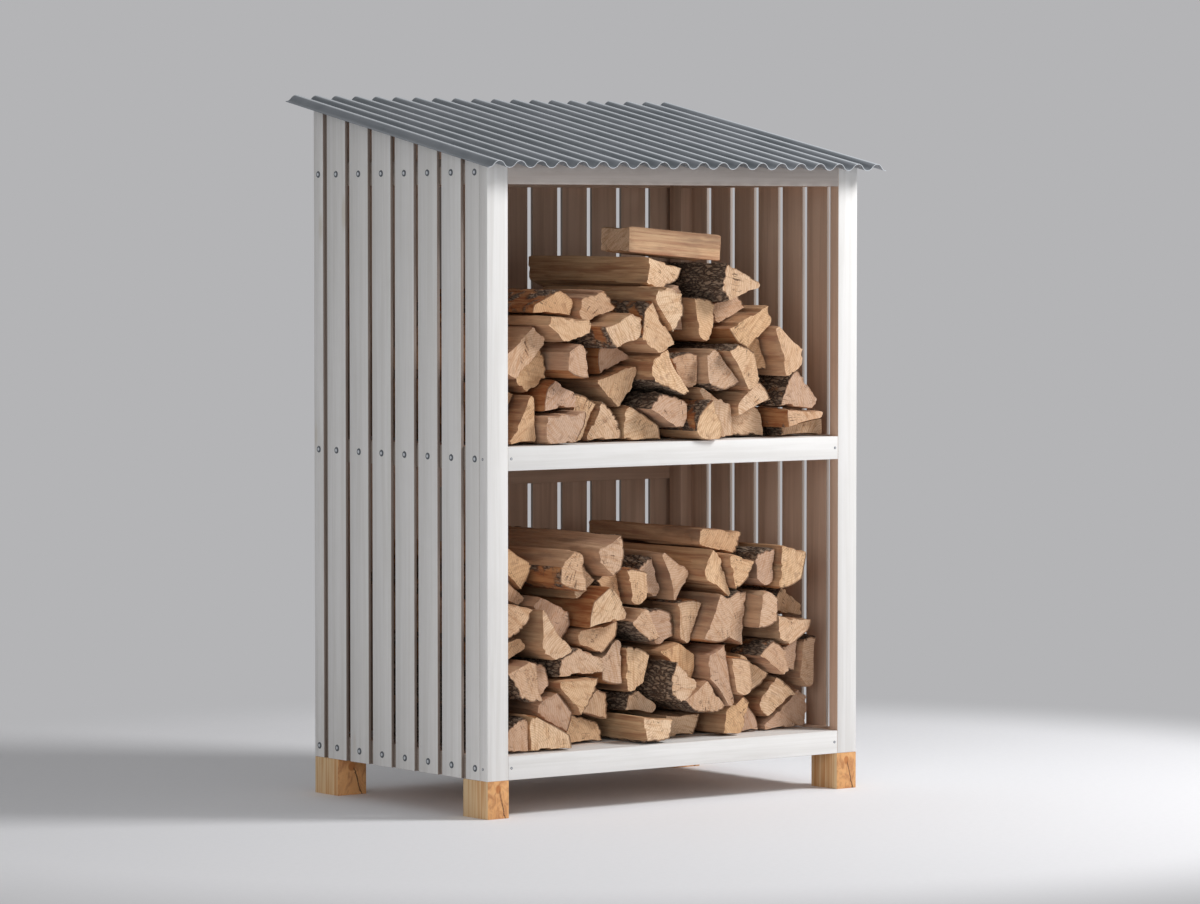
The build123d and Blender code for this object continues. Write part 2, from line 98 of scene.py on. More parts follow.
# Firewood shapes
LOG_SEED = 17
LOG_OUTLINE_STEP = 0.0055
LOG_STATIONS = 34
LOG_EDGE_WEAR = 0.0024
LOG_CORNER_EASE_SPAN = (0.005, 0.022)
LOG_CORNER_EASE_SHARE = 0.42
LOG_TIP_SPAN = (0.016, 0.034)  # width left where a sharp tip is broken off
LOG_TIP_ANGLE_DEG = 78
LOG_ROOM_SHARE = 0.13  # deepest hollow, as a share of the log's width there
LOG_SPIKE_ANGLE_DEG = 84
LOG_SPIKE_PASSES = 5
LOG_CAP_SHARES = (0.96, 0.87, 0.7, 0.48, 0.22)
LOG_CREASE_DEG = 38
LOG_AGE_POWER = 1.4
LOGS_PER_PIECE = 24
ARC_CHORD_MOST = 0.026
ARC_TURN_MOST_DEG = 16
PITH_INSIDE_LEAST = 0.012
PITH_AWAY_SPAN = (0.03, 0.11)
BARK_NEAREST_SHARE = 0.62
CORNER_CUTS = 2
CORNER_CUT_SHARE = 0.27
SPLIT_SCOOP = 0.0035
SCOOP_FULL_LENGTH = 0.11
SPLIT_HOLLOW = 0.0075
SPLIT_HOLLOW_POWER = 1.5
SPLIT_RIDGE = 0.003
SPLIT_LEDGE = 0.0045
SPLIT_LEDGE_SHARE = 0.08  # a ledge starts where its noise passes this
BARK_FURROW = 0.006
BARK_FURROW_STEEPNESS = 3.5
BARK_SWELL = 0.005
SAW_MARK = 0.0006
FAR_FROM_BARK = 0.05
SAME_POINT = 0.0006
SAME_LOG_POINT = 0.00006
ROOM_MOST = 1

# Shape noise on the logs, in waves a metre across, up and along the grain
FURROW_WAVES = (48, 48, 16)
BARK_SWELL_WAVES = (17, 17, 6)
HOLLOW_WAVES = (16, 16, 3.4)
RIDGE_WAVES = (70, 70, 4)
LEDGE_WAVES = (34, 34, 1.6)
SAW_WAVES = 160

# Colour noise: waves a metre, all ways or along each axis, then detail, roughness and bend where not usual
ACROSS_GRAIN = (1, 1, 0)
USUAL_DETAIL = 4
USUAL_ROUGHNESS_SHARE = 0.55
BOARD_STREAKS = ((1.6, 55, 55), 6, 0.6, 0.4)
BOARD_FINE = ((9, 420, 420), 3)
BOARD_BLOTCH = (9, 3)
BOARD_KNOT_WAVES = (2.2, 9, 2)
PINE_STRIPES = ((2, 70, 70), 3, 0.6)
PINE_FINE = ((20, 500, 500), 3)
PINE_MOTTLE = ((28, 45, 45), 5, 0.65, 1.2)
PINE_SAWN = ((90, 300, 300), 3)
ROOF_RUNS = ((90, 2.2, 2.2), 4)
ROOF_PEBBLE = (900, 2)
ROOF_BLOTCH = (7, 4)
METAL_MARKS = (1400, 3)
RING_DRIFT = ((14, 14, 2), 3)
END_BLOTCH = (22, 5, 0.6)
END_FLECK = ((240, 240, 30), 3)
END_SAW = ((18, 170, 30), 5, 0.7, 0.3)
END_SPOKES = (7, 2)
END_SOIL = ((48, 48, 12), 6, 0.7, 0.8)
SPLIT_FIBRES = ((150, 150, 5), 6, 0.65, 0.5)
SPLIT_BANDS = ((48, 48, 2.5), 4, 0.6, 0.6)
SPLIT_HAIR = ((520, 520, 18), 3)
SPLIT_PATCH = ((18, 18, 4), 4)
BARK_LENGTHWAYS_SHARES = (1, 1, 0.3)
BARK_WAVER = (60, 4)
BARK_PLATE_WAVES = 105
BARK_FLAKES = ((260, 260, 120), 5, 0.65)
BARK_STREAKS = ((90, 90, 6), 5, 0.6, 0.5)
BARK_PATCH = (20, 3)
FLOOR_DUST = (60, 4)

# Where a pattern starts, where it is full, and how deep its colour goes then
NOISE_MIDDLE_SHARE = 0.5
NOISE_SPAN_SHARES = (0.2, 0.8)
BOARD_STREAK_SHARES = (0.36, 0.68)
BOARD_STREAK_DEPTH_SHARE = 0.75
BOARD_TONE_SHARES = (0, 1, 0.35)
BOARD_BLOTCH_SHARES = (0.45, 0.8, 0.3)
BOARD_KNOT_SHARES = (0.05, 0.13)
PINE_STRIPE_SHARES = (0.42, 0.64)
PINE_FINE_SHARE = 0.3
PINE_MOTTLE_SHARES = (0.38, 0.7)
PINE_SAWN_SHARE = 0.35
PINE_DRIFT_SHARE = 0.22
PINE_CRACK_LEAN_SHARE = -0.36
PINE_CRACK_FOOT_SHARE = 0.83
PINE_CRACK_SHARES = (0.008, 0.035)
PINE_CRACK_TOP_SHARES = (0.68, 0.8)
PINE_CRACK_DEPTH_SHARE = 0.9
PINE_KNOT_ACROSS_SHARE = 0.5
PINE_KNOT_UP_SHARE = 0.78
PINE_KNOT_DRIFT_SHARE = 0.08
PINE_KNOT_SHARES = (0.006, 0.02)
PINE_KNOT_DEPTH_SHARE = 0.75
PINE_DENT_SHARE = 0.5
ROOF_RUN_SHARE = 0.5
ROOF_MARK_SHARES = (0.36, 0.64)
# painted highlight: where on the wave's height the paler crest grey starts, where it is full, and how deep it
# goes
ROOF_PAINTED_HIGHLIGHT_SHARES = (0.9, 0.985, 0.85)
METAL_MARK_SHARES = (0.3, 0.7)
CUT_METALLIC_SHARE = 0.3
SCREW_METALLIC_SHARE = 0.6
RING_WIDTH = 0.0058
RING_WAVER = 0.014
RING_SWING_SHARE = 0.5
END_BEND = 0.03
END_CRACK_SHARES = (0.003, 0.014)
END_CRACK_PLACE_SHARES = (0.5, 0.6)
END_CRACK_DEPTH_SHARE = 0.8
END_CRACK_DROP = 2
END_BLOTCH_SHARES = (0.4, 0.7, 0.5)
END_AGE_SHARE = 0.85
END_SOIL_SHARES = (0.5, 0.72, 0.7)
END_RING_SHARE = 0.36
END_SAW_SHARES = (0.44, 0.68, 0.6)
END_FLECK_SHARES = (0.52, 0.75, 0.35)
END_RIM_SPAN = (0.002, 0.0045)
END_RIM_SHARE = 0.75
SPLIT_FIBRE_SHARES = (0.3, 0.72)
SPLIT_TONE_SHARE = 0.6
SPLIT_BAND_SHARES = (0.46, 0.68, 0.75)
SPLIT_AGE_SHARE = 0.5
SPLIT_PATCH_SHARES = (0.51, 0.7, 0.65)
SPLIT_HAIR_SHARES = (0.54, 0.78, 0.55)
BARK_BEND = 0.03
BARK_PATCH_SHARE = 0.9
BARK_PEEL_SHARES = (0.6, 0.72)
BARK_RAISED_SHARES = (0.01, 0.22)
BARK_FLAKE_SHARES = (0.45, 0.75, 0.5)
BARK_TONE_SHARE = 0.3
PEELED_STREAK_SHARES = (0.36, 0.66)
BARK_FLAKE_RISE_SHARE = 0.6
PEELED_STREAK_RISE_SHARE = 0.4
FLOOR_DUST_SHARES = (0.3, 0.7, 0.04)

# Relief that only the shading shows: strength, and height in metres
BOARD_STREAK_RELIEF = (0.25, 0.0008)
BOARD_FINE_RELIEF = (0.2, 0.0003)
PINE_SIDE_RELIEF = (0.25, 0.0004)
PINE_FRONT_RELIEF = (0.5, 0.0015)
ROOF_RELIEF = (0.12, 0.0003)
METAL_RELIEF = (0.15, 0.0002)
END_RELIEF = (0.6, 0.0012)
SPLIT_BAND_RELIEF = (0.6, 0.005)
SPLIT_FIBRE_RELIEF = (0.8, 0.003)
SPLIT_HAIR_RELIEF = (0.4, 0.0007)
BARK_RELIEF = (0.9, 0.005)
FLOOR_RELIEF = (0.02, 0.001)

# Roughness where a pattern is low and where it is high, then gloss
BOARD_FINISH_SHARES = (0.48, 0.64, 0.3)
PINE_SIDE_FINISH_SHARES = (0.55, 0.7, 0.3)
PINE_FRONT_FINISH_SHARES = (0.6, 0.75, 0.3)
ROOF_FINISH_SHARES = (0.34, 0.5, 0.5)
ROOF_FINISH_SPAN_SHARES = (0.3, 0.7)
METAL_FINISH_SHARES = (0.3, 0.5, 0.3)
END_FINISH_SHARES = (0.68, 0.85, 0.2)
SPLIT_FINISH_SHARES = (0.66, 0.85, 0.2)
BARK_FINISH_SHARES = (0.8, 0.95, 0.15)
FLOOR_FINISH_SHARES = (0.7, 0.7, 0.1)

# Numbers of the mix node's sockets for colours
MIX_SHARE, MIX_FIRST, MIX_SECOND, MIX_RESULT = 0, 6, 7, 2

# Colours as seen on a screen, 0 to 255
SCREEN_MOST = 255
COATS = {  # light, dark and knot tones of the boards, and how much a knot shows
    "white_translucent_paint": ((238, 237, 236), (221, 219, 216), (206, 196, 178), 0.5),
    # painted shade: the header's greyer white stands in for the shade under the roof's overhang
    "white_paint_darkened_as_painted_shade": ((194, 186, 181), (173, 163, 156), (206, 196, 178), 0.4),
    "brown_stained_inside": ((224, 194, 172), (194, 163, 141), (194, 163, 141), 0.7),
    # partly a duller coat on the board edges, partly painted shade for the narrow gaps between the slats
    "edge_coat_with_painted_gap_shade": ((164, 151, 142), (138, 125, 116), (138, 125, 116), 0.5),
}
PINE_PALE = (232, 203, 160)
PINE_RING = (205, 150, 98)
PINE_ORANGE = (226, 164, 103)
PINE_DEEP = (178, 108, 58)
ROOF_GREY = (138, 143, 150)
ROOF_DARK = (114, 121, 127)
# pale grey of the painted highlight on the roof's crests; also the marks' tone on the cut edge and the screw
# heads
PAINTED_CREST_HIGHLIGHT = (208, 213, 219)
ROOF_CUT = (214, 218, 222)
STEEL = (222, 224, 228)
# painted shade of the countersink round each screw head
SCREW_PAINTED_SHADE = (96, 99, 104)
END_PALE = (238, 210, 178)
END_WARM = (226, 186, 142)
END_GREY = (194, 164, 147)
END_RING = (174, 126, 86)
END_CRACK = (78, 52, 36)
END_DIRT = (146, 112, 90)
SPLIT_PALE = (226, 190, 148)
SPLIT_WARM = (192, 148, 112)
SPLIT_RED = (156, 104, 74)
SPLIT_DIRT = (130, 102, 84)
BARK_PLATE = (170, 148, 128)
BARK_DEEP = (90, 74, 64)
BARK_RIM = (96, 66, 46)
PEELED_RED = (148, 90, 56)
PEELED_TAN = (184, 134, 92)
FLOOR_TONE = (249, 249, 252)
BACKDROP_TONE = (180, 180, 182)


def linear(colour):
    """A colour as seen on a screen, as the linear values that shaders take."""
    return (*Color([part / SCREEN_MOST for part in colour]).from_srgb_to_scene_linear(), 1)


class Graph:
    """One material's nodes. Each method adds nodes and gives back the last one's output."""

    def __init__(self, name):
        self.material = bpy.data.materials.new(name)
        self.material.use_nodes = True
        self.nodes = self.material.node_tree.nodes
        self.links = self.material.node_tree.links
        self.shader = self.nodes["Principled BSDF"]

    def feed(self, socket, value):
        if isinstance(value, bpy.types.NodeSocket):
            self.links.new(value, socket)
        else:
            socket.default_value = value

    def add(self, kind, inputs, output=0, **settings):
        node = self.nodes.new("ShaderNode" + kind)
        for name, value in settings.items():
            setattr(node, name, value)
        for name, value in inputs.items():
            self.feed(node.inputs[name], value)
        return node.outputs[output]

    def attribute(self, name, output="Vector"):
        return self.add("Attribute", {}, output, attribute_name=name)

    def stretch(self, vector, factors):
        return self.add("VectorMath", {0: vector, 1: factors}, operation="MULTIPLY")

    def noise(self, vector, waves, detail=USUAL_DETAIL, roughness=USUAL_ROUGHNESS_SHARE, distortion=0):
        """Noise with so many waves a metre: one number for all ways, or one for each axis."""
        if isinstance(waves, tuple):
            vector, waves = self.stretch(vector, waves), 1
        inputs = {"Vector": vector, "Scale": waves, "Detail": detail}
        inputs.update({"Roughness": roughness, "Distortion": distortion})
        return self.add("TexNoise", inputs)

    def cells(self, vector, scale, feature="F1"):
        return self.add("TexVoronoi", {"Vector": vector, "Scale": scale}, "Distance", feature=feature)

    def math(self, operation, first, second=0):
        return self.add("Math", {0: first, 1: second}, operation=operation)

    def between(self, value, span, start=0, end=1):
        """The value's place between the ends of a span, eased, from start to end."""
        low, high = span
        inputs = {"Value": value, "From Min": low, "From Max": high, "To Min": start, "To Max": end}
        return self.add("MapRange", inputs, interpolation_type="SMOOTHSTEP")

    def blend(self, share, first, second):
        colours = {MIX_SHARE: share, MIX_FIRST: first, MIX_SECOND: second}
        return self.add("Mix", colours, MIX_RESULT, data_type="RGBA")

    def tint(self, colour, value, shares, tone):
        """Lays a tone over a colour where a value rises; the shares are start, full place and depth."""
        start, full, depth = shares
        return self.blend(self.between(value, (start, full), 0, depth), colour, linear(tone))

    def wash(self, colour, value, depth_share, tone):
        """Lays a tone over a colour as deep as the value, times a share."""
        return self.blend(self.math("MULTIPLY", value, depth_share), colour, linear(tone))

    def bump(self, height, relief, under=None):
        strength, distance = relief
        inputs = {"Height": height, "Strength": strength, "Distance": distance}
        if under is not None:
            inputs["Normal"] = under
        return self.add("Bump", inputs)

    def finish(self, colour, normal, value, shares, span=NOISE_SPAN_SHARES):
        """Sets the surface, with its roughness led by a value."""
        smooth, rough, gloss = shares
        self.feed(self.shader.inputs["Base Color"], colour)
        self.feed(self.shader.inputs["Roughness"], self.between(value, span, smooth, rough))
        self.feed(self.shader.inputs["Normal"], normal)
        self.shader.inputs["Specular IOR Level"].default_value = gloss
        return self.material


def board_material(name, light, dark, knot, knot_share):
    """Planed softwood under a thin coat: streaks along the board, a few knots and a soft tone per board."""
    g = Graph(name)
    grain = g.attribute("grain")
    tone = g.attribute("tone", "Fac")
    streaks = g.noise(grain, *BOARD_STREAKS)
    fine = g.noise(grain, *BOARD_FINE)
    blotch = g.noise(grain, *BOARD_BLOTCH)
    knots = g.between(g.cells(g.stretch(grain, BOARD_KNOT_WAVES), 1), BOARD_KNOT_SHARES, 1, 0)
    shade = g.math("MULTIPLY", g.between(streaks, BOARD_STREAK_SHARES), BOARD_STREAK_DEPTH_SHARE)
    shade = g.math("ADD", shade, g.math("MULTIPLY", fine, 1 - BOARD_STREAK_DEPTH_SHARE))
    colour = g.blend(shade, linear(light), linear(dark))
    colour = g.tint(colour, tone, BOARD_TONE_SHARES, dark)
    colour = g.tint(colour, blotch, BOARD_BLOTCH_SHARES, dark)
    colour = g.wash(colour, knots, knot_share, knot)
    normal = g.bump(streaks, BOARD_STREAK_RELIEF)
    normal = g.bump(fine, BOARD_FINE_RELIEF, normal)
    return g.finish(colour, normal, streaks, BOARD_FINISH_SHARES)


def pine_side_material():
    """Bare pine with narrow upright stripes, as on the planed sides of the feet."""
    g = Graph("bare_pine_side")
    grain = g.attribute("grain")
    stripes = g.noise(grain, *PINE_STRIPES)
    fine = g.noise(grain, *PINE_FINE)
    colour = g.blend(g.between(stripes, PINE_STRIPE_SHARES), linear(PINE_PALE), linear(PINE_RING))
    colour = g.wash(colour, fine, PINE_FINE_SHARE, PINE_RING)
    return g.finish(colour, g.bump(fine, PINE_SIDE_RELIEF), fine, PINE_SIDE_FINISH_SHARES)


def pine_front_material():
    """Bare pine, rough sawn and orange, with a knot and a drying crack that runs down from it."""
    g = Graph("bare_pine_front")
    grain = g.attribute("grain")
    across = g.add("SeparateXYZ", {0: g.attribute("share")}, "X")
    up = across.node.outputs["Z"]
    mottle = g.noise(grain, *PINE_MOTTLE)
    fine = g.noise(grain, *PINE_SAWN)
    colour = g.blend(g.between(mottle, PINE_MOTTLE_SHARES), linear(PINE_ORANGE), linear(PINE_DEEP))
    colour = g.wash(colour, fine, PINE_SAWN_SHARE, PINE_PALE)
    drift = g.math("MULTIPLY", g.math("SUBTRACT", mottle, NOISE_MIDDLE_SHARE), PINE_DRIFT_SHARE)
    line = g.math("ADD", g.math("MULTIPLY", up, PINE_CRACK_LEAN_SHARE), PINE_CRACK_FOOT_SHARE)
    off_line = g.math("ABSOLUTE", g.math("ADD", g.math("SUBTRACT", across, line), drift))
    crack = g.between(off_line, PINE_CRACK_SHARES, 1, 0)
    crack = g.math("MULTIPLY", crack, g.between(up, PINE_CRACK_TOP_SHARES, 1, 0))
    knot_x = g.math("ABSOLUTE", g.math("SUBTRACT", across, PINE_KNOT_ACROSS_SHARE))
    knot_z = g.math("ABSOLUTE", g.math("SUBTRACT", up, PINE_KNOT_UP_SHARE))
    reach = g.math("ADD", g.math("POWER", knot_x, 2), g.math("POWER", knot_z, 2))
    reach = g.math("ADD", reach, g.math("MULTIPLY", drift, PINE_KNOT_DRIFT_SHARE))
    knot = g.between(reach, PINE_KNOT_SHARES, 1, 0)
    colour = g.wash(colour, knot, PINE_KNOT_DEPTH_SHARE, PINE_DEEP)
    colour = g.wash(colour, crack, PINE_CRACK_DEPTH_SHARE, END_CRACK)
    dent = g.math("SUBTRACT", g.math("MULTIPLY", mottle, PINE_DENT_SHARE), g.math("MAXIMUM", crack, knot))
    return g.finish(colour, g.bump(dent, PINE_FRONT_RELIEF), mottle, PINE_FRONT_FINISH_SHARES)


def roof_material():
    """Coated corrugated sheet: slate grey, with a painted highlight along the crests and faint run marks down
    the slope.
    """
    g = Graph("slate_grey_sheet")
    place = g.add("TexCoord", {}, "Object")
    runs = g.noise(place, *ROOF_RUNS)
    pebble = g.noise(place, *ROOF_PEBBLE)
    blotch = g.noise(place, *ROOF_BLOTCH)
    mark = g.math("MULTIPLY", runs, ROOF_RUN_SHARE)
    mark = g.math("ADD", mark, g.math("MULTIPLY", blotch, 1 - ROOF_RUN_SHARE))
    colour = g.blend(g.between(mark, ROOF_MARK_SHARES), linear(ROOF_GREY), linear(ROOF_DARK))
    # painted highlight: a paler grey laid along the top of each wave
    colour = g.tint(colour, g.attribute("crest", "Fac"), ROOF_PAINTED_HIGHLIGHT_SHARES, PAINTED_CREST_HIGHLIGHT)
    return g.finish(colour, g.bump(pebble, ROOF_RELIEF), mark, ROOF_FINISH_SHARES, ROOF_FINISH_SPAN_SHARES)


def metal_material(name, light, dark, metallic_share):
    """Bare metal with faint turning or shearing marks."""
    g = Graph(name)
    marks = g.noise(g.add("TexCoord", {}, "Object"), *METAL_MARKS)
    colour = g.blend(g.between(marks, METAL_MARK_SHARES), linear(light), linear(dark))
    g.shader.inputs["Metallic"].default_value = metallic_share
    return g.finish(colour, g.bump(marks, METAL_RELIEF), marks, METAL_FINISH_SHARES)


def log_end_material():
    """Sawn log ends: growth rings, radial cracks, saw marks, a bark rim, and weathering log by log."""
    g = Graph("log_end_grain")
    wood = g.attribute("wood")
    tone = g.attribute("tone", "Fac")
    age = g.attribute("age", "Fac")
    flat = g.stretch(wood, ACROSS_GRAIN)
    from_pith = g.add("VectorMath", {0: flat}, "Value", operation="LENGTH")
    drift = g.math("MULTIPLY", g.noise(wood, *RING_DRIFT), RING_WAVER)
    turns = g.math("MULTIPLY", g.math("ADD", from_pith, drift), math.tau / RING_WIDTH)
    rings = g.math("MULTIPLY", g.math("ADD", g.math("SINE", turns), 1), RING_SWING_SHARE)
    blotch = g.noise(wood, *END_BLOTCH)
    fleck = g.noise(wood, *END_FLECK)
    saw = g.noise(wood, *END_SAW)
    bent = g.add("VectorMath", {0: flat, 1: g.math("MULTIPLY", blotch, END_BEND)})
    spokes = g.noise(g.add("VectorMath", {0: bent}, operation="NORMALIZE"), *END_SPOKES)
    off_spoke = g.math("ABSOLUTE", g.math("SUBTRACT", spokes, NOISE_MIDDLE_SHARE))
    crack = g.between(off_spoke, END_CRACK_SHARES, 1, 0)
    crack = g.math("MULTIPLY", crack, g.between(blotch, END_CRACK_PLACE_SHARES))
    colour = g.blend(tone, linear(END_PALE), linear(END_WARM))
    colour = g.tint(colour, blotch, END_BLOTCH_SHARES, END_WARM)
    colour = g.wash(colour, age, END_AGE_SHARE, END_GREY)
    colour = g.tint(colour, g.noise(wood, *END_SOIL), END_SOIL_SHARES, END_DIRT)
    colour = g.wash(colour, rings, END_RING_SHARE, END_RING)
    colour = g.tint(colour, saw, END_SAW_SHARES, END_RING)
    colour = g.tint(colour, fleck, END_FLECK_SHARES, END_RING)
    colour = g.wash(colour, crack, END_CRACK_DEPTH_SHARE, END_CRACK)
    rim = g.between(g.attribute("rim", "Fac"), END_RIM_SPAN, 1, 0)
    colour = g.wash(colour, rim, END_RIM_SHARE, BARK_RIM)
    height = g.math("SUBTRACT", g.math("ADD", saw, fleck), g.math("MULTIPLY", crack, END_CRACK_DROP))
    return g.finish(colour, g.bump(height, END_RELIEF), blotch, END_FINISH_SHARES)


def log_split_material():
    """Split faces: long torn fibres along the log, paler and redder streaks, and dull weathered patches."""
    g = Graph("log_split_face")
    wood = g.attribute("wood")
    tone = g.attribute("tone", "Fac")
    age = g.attribute("age", "Fac")
    fibres = g.noise(wood, *SPLIT_FIBRES)
    bands = g.noise(wood, *SPLIT_BANDS)
    hair = g.noise(wood, *SPLIT_HAIR)
    patch = g.noise(wood, *SPLIT_PATCH)
    colour = g.blend(g.between(fibres, SPLIT_FIBRE_SHARES), linear(SPLIT_PALE), linear(SPLIT_WARM))
    colour = g.wash(colour, tone, SPLIT_TONE_SHARE, SPLIT_WARM)
    colour = g.tint(colour, bands, SPLIT_BAND_SHARES, SPLIT_RED)
    colour = g.wash(colour, age, SPLIT_AGE_SHARE, END_GREY)
    colour = g.tint(colour, patch, SPLIT_PATCH_SHARES, SPLIT_DIRT)
    colour = g.tint(colour, hair, SPLIT_HAIR_SHARES, SPLIT_RED)
    normal = g.bump(bands, SPLIT_BAND_RELIEF)
    normal = g.bump(fibres, SPLIT_FIBRE_RELIEF, normal)
    normal = g.bump(hair, SPLIT_HAIR_RELIEF, normal)
    return g.finish(colour, normal, fibres, SPLIT_FINISH_SHARES)


def bark_material():
    """Bark: raised plates between dark furrows along the log; on peeled logs the smooth red wood under it."""
    g = Graph("log_bark")
    wood = g.attribute("wood")
    tone = g.attribute("tone", "Fac")
    bent = g.stretch(wood, BARK_LENGTHWAYS_SHARES)
    shift = g.math("MULTIPLY", g.noise(bent, *BARK_WAVER), BARK_BEND)
    shifted = g.add("VectorMath", {0: bent, 1: shift})
    plates = g.cells(shifted, BARK_PLATE_WAVES, "DISTANCE_TO_EDGE")
    flakes = g.noise(wood, *BARK_FLAKES)
    streaks = g.noise(wood, *BARK_STREAKS)
    patch = g.math("SUBTRACT", g.noise(wood, *BARK_PATCH), NOISE_MIDDLE_SHARE)
    patch = g.math("MULTIPLY", patch, BARK_PATCH_SHARE)
    peeled = g.between(g.math("ADD", g.attribute("peeled", "Fac"), patch), BARK_PEEL_SHARES)
    raised = g.between(plates, BARK_RAISED_SHARES)
    colour = g.blend(raised, linear(BARK_DEEP), linear(BARK_PLATE))
    colour = g.tint(colour, flakes, BARK_FLAKE_SHARES, BARK_DEEP)
    colour = g.wash(colour, tone, BARK_TONE_SHARE, BARK_DEEP)
    under = g.blend(g.between(streaks, PEELED_STREAK_SHARES), linear(PEELED_TAN), linear(PEELED_RED))
    colour = g.blend(peeled, colour, under)
    rough = g.math("ADD", raised, g.math("MULTIPLY", flakes, BARK_FLAKE_RISE_SHARE))
    rough = g.math("MULTIPLY", rough, g.math("SUBTRACT", 1, peeled))
    height = g.math("ADD", rough, g.math("MULTIPLY", streaks, PEELED_STREAK_RISE_SHARE))
    return g.finish(colour, g.bump(height, BARK_RELIEF), flakes, BARK_FINISH_SHARES)


def shows_background(nodes, links):
    """1 for rays that show the background: from the camera, or by way of metal or glass."""
    path = nodes.new("ShaderNodeLightPath")
    shown = path.outputs["Is Camera Ray"]
    for kind in ("Is Glossy Ray", "Is Transmission Ray"):
        larger = nodes.new("ShaderNodeMath")
        larger.operation = "MAXIMUM"
        links.new(shown, larger.inputs[0])
        links.new(path.outputs[kind], larger.inputs[1])
        shown = larger.outputs[0]
    return shown


def floor_material():
    """A pale studio floor that fades into the backdrop's tone away from the object."""
    g = Graph("pale_floor")
    place = g.add("TexCoord", {}, "Object")
    dust = g.noise(place, *FLOOR_DUST)
    colour = g.tint(linear(FLOOR_TONE), dust, FLOOR_DUST_SHARES, BACKDROP_TONE)
    g.finish(colour, g.bump(dust, FLOOR_RELIEF), dust, FLOOR_FINISH_SHARES)
    away = g.add("VectorMath", {0: place}, "Value", operation="LENGTH")
    fade = g.between(away, FLOOR_FADE_SPAN)
    seen = shows_background(g.nodes, g.links)
    far_tone = g.add("Emission", {"Color": linear(BACKDROP_TONE)})
    mixed = g.add("MixShader", {0: g.math("MULTIPLY", fade, seen), 1: g.shader.outputs[0], 2: far_tone})
    g.links.new(mixed, g.nodes["Material Output"].inputs["Surface"])
    return g.material


def placed(name, data):
    """A new object in the scene."""
    item = bpy.data.objects.new(name, data)
    bpy.context.scene.collection.objects.link(item)
    return item


def new_object(name, mesh, materials, nodes=()):
    """A finished piece: shown, riding on the one body, and standing for the CAD nodes it covers."""
    piece = placed(name, mesh)
    for material in materials:
        mesh.materials.append(material)
    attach(piece, "root")
    if nodes:
        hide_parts(*nodes)


def welded(node, within=SAME_POINT):
    """A copy of a node's mesh with the points that lie together made one."""
    bm = bmesh.new()
    bm.from_mesh(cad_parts[node].data)
    bmesh.ops.remove_doubles(bm, verts=bm.verts, dist=within)
    return bm


def finished_mesh(bm, name):
    """The mesh that an editing mesh has become."""
    mesh = bpy.data.meshes.new(name)
    bm.to_mesh(mesh)
    bm.free()
    return mesh


def islands(bm):
    """The separate boards of a mesh, each as a list of its vertices, in the same order on every run."""
    left = dict.fromkeys(bm.verts)
    boards = []
    while left:
        reach = [left.popitem()[0]]
        board = []
        while reach:
            vertex = reach.pop()
            board.append(vertex)
            for edge in vertex.link_edges:
                other = edge.other_vert(vertex)
                if other in left:
                    del left[other]
                    reach.append(other)
        boards.append(board)

    def place(board):
        return [round(math.fsum(vertex.co[axis] for vertex in board), ORDER_DIGITS) for axis in range(3)]

    return sorted(boards, key=place)


def extent(points):
    """Lowest corner and size of a set of points."""
    low = Vector(min(point[axis] for point in points) for axis in range(3))
    high = Vector(max(point[axis] for point in points) for axis in range(3))
    return low, high - low


def board_values(layers, vertices, upright, dice):
    """Writes each vertex's grain coordinates, its share of the board's box and the board's tone."""
    low, size = extent([vertex.co for vertex in vertices])
    order = sorted(range(3), key=lambda axis: -size[axis])
    if upright:
        order = [2, 0, 1]
    start = Vector(dice.uniform(0, GRAIN_SPREAD) for axis in range(3))
    tone = dice.random()
    for vertex in vertices:
        inside = vertex.co - low
        vertex[layers["grain"]] = start + Vector(inside[axis] for axis in order)
        vertex[layers["share"]] = Vector(inside[axis] / size[axis] for axis in range(3))
        vertex[layers["tone"]] = tone


def dress_timber(node, materials, choose, upright=False):
    """Copies a timber node board by board with rounded edges; choose picks each face's material."""
    bm = welded(node)
    flat = math.radians(FLAT_WITHIN_DEG)
    bmesh.ops.dissolve_limit(bm, angle_limit=flat, verts=bm.verts, edges=bm.edges)
    rounding = {"offset": EDGE_ROUNDING, "segments": EDGE_STEPS, "profile": EDGE_PROFILE_SHARE}
    bmesh.ops.bevel(bm, geom=bm.edges, affect="EDGES", **rounding)
    layers = {name: bm.verts.layers.float_vector.new(name) for name in ("grain", "share")}
    layers["tone"] = bm.verts.layers.float.new("tone")
    dice = random.Random(f"{TIMBER_SEED} {node}")
    for board in islands(bm):
        board_values(layers, board, upright, dice)
    bm.normal_update()
    for face in bm.faces:
        face.smooth = True
        face.material_index = choose(face.normal, face.calc_center_median())
    mesh = finished_mesh(bm, node + "_dressed")
    mesh.set_sharp_from_angle(angle=math.radians(TIMBER_CREASE_DEG))
    new_object(node + "_dressed", mesh, materials, [node])


def facing(direction):
    """Picks the second material for faces that look along a direction, and the first for the rest."""
    return lambda normal, centre: int(normal.dot(direction) > FACING_SHARE)


def outside(direction, front):
    """Picks the second material for a wall's outer and front faces, and the third for its inner faces."""
    def choose(normal, centre):
        if normal.dot(direction) < -FACING_SHARE:
            return 2
        at_front = normal.y < -OUTER_SHARE and centre.y < front + 2 * EDGE_ROUNDING
        return int(normal.dot(direction) > OUTER_SHARE or at_front)
    return choose


def front_or_back(normal, centre):
    """Picks the second material for faces that look to the front or the back."""
    return int(abs(normal.y) > FACING_SHARE)


def only_one(normal, centre):
    """Picks the first material for every face."""
    return 0


